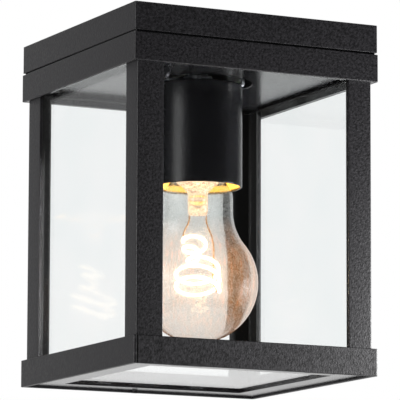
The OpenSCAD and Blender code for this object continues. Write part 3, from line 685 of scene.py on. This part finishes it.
# rods with a real screw thread, cut into a turned blank
def threadedRod(bm, centre, radius, low, high, pitch, depth, ringsPerTurn=6, sides=20):
    length = high - low
    made = bmesh.ops.create_cone(
        bm, cap_ends=True, cap_tris=False, segments=sides, radius1=radius, radius2=radius, depth=length
    )
    verts = made["verts"]
    bmesh.ops.translate(bm, vec=(centre[0], centre[1], (low + high) / 2), verts=verts)
    cuts = int(length / pitch * ringsPerTurn)
    around = {e for v in verts for e in v.link_edges}
    upright = [e for e in around if abs(e.verts[0].co.z - e.verts[1].co.z) > length / 2]
    cut = bmesh.ops.subdivide_edges(bm, edges=upright, cuts=cuts, use_grid_fill=False)
    for v in {v for v in cut["geom_inner"] if isinstance(v, bmesh.types.BMVert)}:
        x, y = v.co.x - centre[0], v.co.y - centre[1]
        turn = (v.co.z / pitch - math.atan2(y, x) / math.tau) % 1
        fade = min(1, (v.co.z - low) / pitch, (high - v.co.z) / pitch)
        share = 1 - depth / radius * fade * abs(2 * turn - 1)
        v.co.x, v.co.y = centre[0] + x * share, centre[1] + y * share


studThread = {"radius": 2 * mm, "pitch": 0.7 * mm, "depth": 0.38 * mm}


def addStuds(s):
    low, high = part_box("hanging_studs")
    radius = s["radius"]
    bm = bmesh.new()
    for side in (-1, 1):
        place = (side * (high.x - radius), side * (high.y - radius))
        threadedRod(bm, place, radius, low.z, high.z, s["pitch"], s["depth"])
    addPiece("hangingStudsThreaded", bm, "zinc_steel", "lantern", ["hanging_studs"], smoothBelow=50)


addStuds(studThread)

nippleThread = {"pitch": 1.0 * mm, "depth": 0.55 * mm, "bore": 3.5 * mm}


def addNipple(s):
    low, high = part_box("holder_nipple")
    bm = bmesh.new()
    threadedRod(bm, (0, 0), high.x, low.z, high.z, s["pitch"], s["depth"], sides=36)
    ends = [f for f in bm.faces if len(f.verts) > 8]
    for face in ends:
        bmesh.ops.inset_individual(bm, faces=[face], thickness=high.x - s["bore"])
    inner = [f for f in bm.faces if len(f.verts) > 8]
    bmesh.ops.bridge_loops(bm, edges=[e for f in inner for e in f.edges])
    bmesh.ops.delete(bm, geom=inner, context="FACES_ONLY")
    bmesh.ops.recalc_face_normals(bm, faces=bm.faces)
    addPiece("nippleThreaded", bm, "zinc_steel", "lantern", ["holder_nipple"], smoothBelow=50)


addNipple(nippleThread)
print("tube, studs and nipple are threaded")


# lamp glass: neck, fillet and globe of one blown wall
lampShape = {
    "globe": 30 * mm, "globeHeight": -124.2 * mm, "neck": 17.5 * mm, "fillet": 27 * mm,
    "wall": 0.8 * mm, "shoulder": 10 * mm, "shoulderHeight": -82.1 * mm, "seal": -73.6 * mm,
}


def lampOutline(s, inset):
    globe, fillet, shoulder = s["globe"] - inset, s["fillet"] + inset, s["shoulder"] - inset
    filletX = s["neck"] + s["fillet"]
    filletZ = s["globeHeight"] + math.sqrt((s["globe"] + s["fillet"]) ** 2 - filletX ** 2)
    meet = math.degrees(math.atan2(filletZ - s["globeHeight"], filletX))
    shoulderX = s["neck"] - s["shoulder"]
    top = math.degrees(math.asin((s["seal"] - s["shoulderHeight"]) / shoulder))
    return (
        arc((0, s["globeHeight"]), globe, -90, meet, 44)
        + arc((filletX, filletZ), fillet, 180 + meet, 180, 20)[1:]
        + arc((shoulderX, s["shoulderHeight"]), shoulder, 0, top, 12)
    )


def addLampGlass(s):
    outside = lampOutline(s, 0)
    inside = lampOutline(s, s["wall"])
    bm = turned([(0, outside[0][1])] + outside[1:] + inside[:0:-1] + [(0, inside[0][1])], 128, closed=False)
    addPiece("lampGlassBlown", bm, "lamp_glass", "bulb", ["bulb_glass"], smoothBelow=60)


addLampGlass(lampShape)


# glass foot inside the neck: a flared tube pinched flat where the lead wires pass
stemShape = {
    "tube": 5 * mm, "wall": 0.9 * mm, "pinch": 0.62, "pinchFrom": -86.6 * mm, "pinchEase": 4 * mm,
    "turned": -26.6,
}


def addStem(s):
    low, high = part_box("bulb_stem")
    top, bottom, rim = high.z, low.z, high.x
    t, w = s["tube"], s["wall"]
    outside = [
        (rim, top), (rim - 0.5 * mm, top - 0.6 * mm), (rim - 2.4 * mm, top - 1.8 * mm),
        (t + 2.2 * mm, top - 3.2 * mm), (t + 0.7 * mm, top - 4.6 * mm), (t, top - 6.4 * mm),
        (t, (top + bottom) / 2), (t, bottom + 3 * mm), (t - 0.2 * mm, bottom + 1 * mm),
        (t - 0.8 * mm, bottom + 0.2 * mm), (t - 1.8 * mm, bottom), (0, bottom),
    ]
    inside = [
        (0, bottom + 2 * mm), (t - 1.8 * mm, bottom + 2.2 * mm), (t - w, bottom + 3.6 * mm),
        (t - w, (top + bottom) / 2), (t - w, top - 6.4 * mm), (t - w + 0.6 * mm, top - 4.2 * mm),
        (t + 1.6 * mm, top - 2.2 * mm), (rim - 2.2 * mm, top - 0.8 * mm), (rim - 1.0 * mm, top),
    ]
    bm = turned(outside + inside, 64, closed=False)
    closing = [e for e in bm.edges if e.is_boundary]
    bmesh.ops.bridge_loops(bm, edges=closing)
    bmesh.ops.recalc_face_normals(bm, faces=bm.faces)
    turn = Matrix.Rotation(math.radians(s["turned"]), 3, "Z")
    for v in bm.verts:
        reach = max(0, min(1, (s["pinchFrom"] - v.co.z) / s["pinchEase"]))
        local = turn.transposed() @ v.co
        local.y *= 1 - (1 - s["pinch"]) * reach
        v.co = turn @ local
    addPiece("lampStemPressed", bm, "lamp_glass", "bulb", ["bulb_stem"], [stemFinish], smoothBelow=60)


addStem(stemShape)
print("lamp glass and stem are blown")


# round wire through points, as a mesh
def wireMesh(points, radius, smooth=True, sides=6):
    curve = bpy.data.curves.new("wire", "CURVE")
    curve.dimensions = "3D"
    curve.bevel_depth = radius
    curve.bevel_resolution = sides
    curve.use_fill_caps = True
    if smooth:
        curve.resolution_u = 10
        spline = curve.splines.new("BEZIER")
        spline.bezier_points.add(len(points) - 1)
        for point, place in zip(spline.bezier_points, points):
            point.co = place
            point.handle_left_type = point.handle_right_type = "AUTO"
    else:
        spline = curve.splines.new("POLY")
        spline.points.add(len(points) - 1)
        for point, place in zip(spline.points, points):
            point.co = (*place, 1)
    holder = bpy.data.objects.new("wire", curve)
    mesh = bpy.data.meshes.new_from_object(holder)
    bpy.data.objects.remove(holder)
    bpy.data.curves.remove(curve)
    return mesh


# the glowing spiral: a small loop, a narrow neck and a wide coil that leans towards the front
filamentShape = {
    "turns": 4.5, "width": 1.8 * mm, "topRadius": 5.7 * mm, "topShift": -1.6 * mm, "neckRadius": 1.3 * mm,
    "coilRadius": 10.8 * mm, "top": -103.6 * mm, "drop": 25 * mm, "lean": 0.42, "turned": -26.6, "steps": 324,
}


def eased(value, start, end):
    t = max(0, min(1, (value - start) / (end - start)))
    return t * t * (3 - 2 * t)


# u runs from 0 at the spiral's upper end to 1 at its lower end
def filamentPoint(s, u):
    falls = [(0, 0), (0.22, 0.13), (0.36, 0.31), (0.56, 0.55), (1, 1)]
    radius = (
        s["topRadius"]
        + (s["neckRadius"] - s["topRadius"]) * eased(u, 0.2, 0.36)
        + (s["coilRadius"] - s["neckRadius"]) * eased(u, 0.36, 0.58)
    )
    for (u0, f0), (u1, f1) in zip(falls, falls[1:]):
        if u <= u1:
            fall = f0 + (f1 - f0) * (u - u0) / (u1 - u0)
            break
    angle = math.pi + math.tau * s["turns"] * u
    x, y = radius * math.cos(angle), radius * math.sin(angle)
    x += s["topShift"] * (1 - eased(u, 0.2, 0.5))
    return Vector((x, y, s["top"] - s["drop"] * fall - s["lean"] * y))


def turnedToLamp(points, angle):
    turn = Matrix.Rotation(math.radians(angle), 3, "Z")
    return [turn @ Vector(p) for p in points]


def addFilament(s):
    path = [filamentPoint(s, k / s["steps"]) for k in range(s["steps"] + 1)]
    mesh = wireMesh(turnedToLamp(path, s["turned"]), s["width"] / 2, smooth=False)
    dressPiece("filamentSpiral", mesh, "filament", "bulb", ["bulb_filament"], smoothBelow=60)
    return path


filamentPath = addFilament(filamentShape)

# lead wires from the stem to the spiral's two ends, the second one past the outside of the coil
leadShape = {"width": 0.8 * mm, "spread": 4.2 * mm}


def addLeads(s, path, angle):
    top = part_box("bulb_stem")[0].z
    first, last = path[0], path[-1]
    x = s["spread"]
    runs = [
        [
            (-x, 0, top), (-x, 0, top - 2 * mm),
            first + Vector((0.4 * mm, 0, 4 * mm)), first + Vector((0, 0, 0.9 * mm)),
        ],
        [
            (x, 0, top), (x, 0, top - 2 * mm), (x + 0.5 * mm, 0.4 * mm, top - 4.5 * mm),
            (7.6 * mm, 1.4 * mm, -103.6 * mm), (7.8 * mm, 1.2 * mm, -115.6 * mm),
            (7.8 * mm, 0.6 * mm, last.z + 5 * mm), last + Vector((-1.2 * mm, 0, 0)),
        ],
    ]
    bm = bmesh.new()
    for run in runs:
        part = wireMesh(turnedToLamp(run, angle), s["width"] / 2)
        bm.from_mesh(part)
        bpy.data.meshes.remove(part)
    addPiece("leadWires", bm, "lamp_wire", "bulb", ["bulb_leads"], smoothBelow=60)


addLeads(leadShape, filamentPath, filamentShape["turned"])
print("filament and leads are wound")


# screw cap of the lamp and the shell that takes it: rolled sheet with the same round thread
capThread = {
    "pitch": 3.62 * mm, "depth": 0.8 * mm, "sheet": 0.3 * mm, "leadIn": 1.8 * mm, "turns": 4.5, "steps": 72,
}
shellThread = {"pitch": 3.62 * mm, "depth": 0.35 * mm, "sheet": 0.4 * mm, "ledge": 3.4 * mm, "steps": 72}


# the crest follows the helix, and fades over half a pitch at both ends
def rollThread(bm, high, low, pitch, depth):
    for v in bm.verts:
        z = v.co.z
        if not low < z < high:
            continue
        turn = (z / pitch - math.atan2(v.co.y, v.co.x) / math.tau) % 1
        fade = min(1, (z - low) / (pitch / 2), (high - z) / (pitch / 2))
        radius = math.hypot(v.co.x, v.co.y)
        dip = depth * fade * (0.5 - 0.5 * math.cos(math.tau * turn))
        share = 1 - dip / radius
        v.co.x, v.co.y = v.co.x * share, v.co.y * share


def heights(high, low, count):
    return [high + (low - high) * k / count for k in range(count + 1)]


def addLampCap(s):
    low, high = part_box("bulb_cap")
    r, top, bottom = high.x, high.z, low.z
    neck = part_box("cap_insulator")[1].x
    rings = heights(top - s["leadIn"], bottom, 60)
    outline = (
        [(neck - s["sheet"], top), (neck, top), (r - 0.6 * mm, top - 0.9 * mm)]
        + [(r, z) for z in rings]
        + [(r - s["sheet"], z) for z in reversed(rings)]
    )
    bm = turned(outline, s["steps"])
    rollThread(bm, top - s["leadIn"], top - s["leadIn"] - s["turns"] * s["pitch"], s["pitch"], s["depth"])
    addPiece("lampCapRolled", bm, "lamp_cap", "bulb", ["bulb_cap"], smoothBelow=60)


addLampCap(capThread)


def addScrewShell(s):
    low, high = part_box("screw_shell")
    r, top, bottom = high.x, high.z, low.z
    wall = s["sheet"]
    rings = heights(top, bottom, 56)
    outline = (
        [(r - s["ledge"], top - wall), (r - s["ledge"], top)]
        + [(r, z) for z in rings]
        + [(r - wall, z) for z in reversed(rings[1:])]
    )
    bm = turned(outline, s["steps"])
    rollThread(bm, top - 2 * mm, bottom + 1 * mm, s["pitch"], s["depth"])
    addPiece("screwShellRolled", bm, "brass", "lantern", ["screw_shell"], smoothBelow=60)


addScrewShell(shellThread)
print("lamp cap and screw shell are rolled")


# insulator and tip at the end of the lamp's cap
lampEnd = {"edge": 0.5 * mm, "collar": 5.6 * mm, "collarEdge": 0.7 * mm, "dome": 0.9 * mm}


def addLampEnd(s):
    low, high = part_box("cap_insulator")
    r = high.x
    outline = (
        [(0, low.z), (r - 0.3 * mm, low.z)]
        + arc((r - s["edge"], low.z + s["edge"]), s["edge"], -60, 50, 5)
        + arc((s["collar"], high.z - s["collarEdge"]), s["collarEdge"], 50, 90, 4)
        + [(0, high.z)]
    )
    bm = turned(outline, 64, closed=False)
    addPiece("capInsulatorMoulded", bm, "black_plastic", "bulb_tip", ["cap_insulator"])
    low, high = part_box("tip_contact")
    r = high.x
    outline = (
        [(0, low.z), (r - 0.2 * mm, low.z), (r, low.z + 0.2 * mm)]
        + arc((r - s["dome"], high.z - s["dome"]), s["dome"], 0, 80, 6)
        + [(0, high.z)]
    )
    addPiece("tipContactSoldered", turned(outline, 48, closed=False), "brass", "bulb_tip", ["tip_contact"])


addLampEnd(lampEnd)
print("lamp end is closed")


# white paper behind, a soft lamp to the left, and a small one low on the right
# "diffuse" lights matt surfaces, "backdrop" and "dim" are what glossy ones mirror
lightSettings = {
    "diffuse": 0.85,
    "backdrop": 0.97,
    "dim": 0.03,
    "backdropTowards": (0.3, 0.93, -0.2),
    "frontLamp": {"place": (0.27, -0.14, -0.15), "size": 0.07, "power": 1.75},
    "leftLamp": {"place": (-1.08, -0.2, -0.02), "size": 0.42, "power": 5.5},
}


def paper(tree, strength):
    node = tree.nodes.new("ShaderNodeBackground")
    node.inputs["Color"].default_value = (1, 1, 1, 1)
    if isinstance(strength, (int, float)):
        node.inputs["Strength"].default_value = strength
    else:
        tree.links.new(strength, node.inputs["Strength"])
    return node.outputs["Background"]


def addWorld(s):
    world = bpy.data.worlds.new("studio")
    scene.world = world
    world.use_nodes = True
    world.cycles.sampling_method = "NONE"  # the paper's light is found by the surfaces' own rays alone
    tree = world.node_tree
    tree.nodes.remove(tree.nodes["Background"])
    dot = tree.nodes.new("ShaderNodeVectorMath")
    dot.operation = "DOT_PRODUCT"
    dot.inputs[1].default_value = s["backdropTowards"]
    tree.links.new(tree.nodes.new("ShaderNodeTexCoord").outputs["Generated"], dot.inputs[0])
    lit = spread(tree, dot.outputs["Value"], s["dim"], s["backdrop"] + s["dim"], 0.3, 1.0)
    path = tree.nodes.new("ShaderNodeLightPath")
    bounces = reckon(tree, "ADD", path.outputs["Glossy Depth"], path.outputs["Diffuse Depth"])
    scattered = reckon(tree, "GREATER_THAN", path.outputs["Diffuse Depth"], 0.5)
    mirrored = mixShaders(tree, scattered, paper(tree, lit), paper(tree, s["diffuse"]))
    # seen straight or through glass alone: the white paper behind the lantern
    straight = reckon(tree, "LESS_THAN", bounces, 0.5)
    seen = mixShaders(tree, straight, mirrored, paper(tree, 1.0))
    tree.links.new(seen, tree.nodes["World Output"].inputs["Surface"])


def addLamp(name, s):
    data = bpy.data.lights.new(name, "AREA")
    data.shape = "DISK"
    data.size = s["size"]
    data.energy = s["power"]
    lamp = bpy.data.objects.new(name, data)
    scene.collection.objects.link(lamp)
    aim = Vector((0, 0, -0.09)) - Vector(s["place"])
    lamp.visible_camera = False
    lamp.visible_transmission = False  # glass is already clear to lamps, so they are not counted twice
    lamp.matrix_world = Matrix.Translation(s["place"]) @ aim.to_track_quat("-Z", "Y").to_matrix().to_4x4()


# a pale floor far below, that isn't there for a camera under it
floorSettings = {
    "size": 6, "height": -1.2, "first": tone(243, 243, 243), "second": tone(245, 245, 245),
    "patch": 0.3, "roughness": 0.8,
}


def addFloor(s):
    bm = bmesh.new()
    bmesh.ops.create_grid(bm, x_segments=1, y_segments=1, size=s["size"])
    bmesh.ops.translate(bm, vec=(0, 0, s["height"]), verts=bm.verts)
    mesh = bpy.data.meshes.new("floor")
    bm.to_mesh(mesh)
    bm.free()
    floor = bpy.data.objects.new("floor", mesh)
    scene.collection.objects.link(floor)
    material, tree, shader, where = newFinish("paleFloor")
    paint(tree, shader, grain(tree, where, s["patch"], 1), s["first"], s["second"])
    shader.inputs["Roughness"].default_value = s["roughness"]
    fadeOut(tree, shader, tree.nodes.new("ShaderNodeNewGeometry").outputs["Backfacing"])
    mesh.materials.append(material)


addWorld(lightSettings)
addLamp("frontLamp", lightSettings["frontLamp"])
addLamp("leftLamp", lightSettings["leftLamp"])
addFloor(floorSettings)
scene.view_settings.view_transform = "Standard"
print("lights are up")
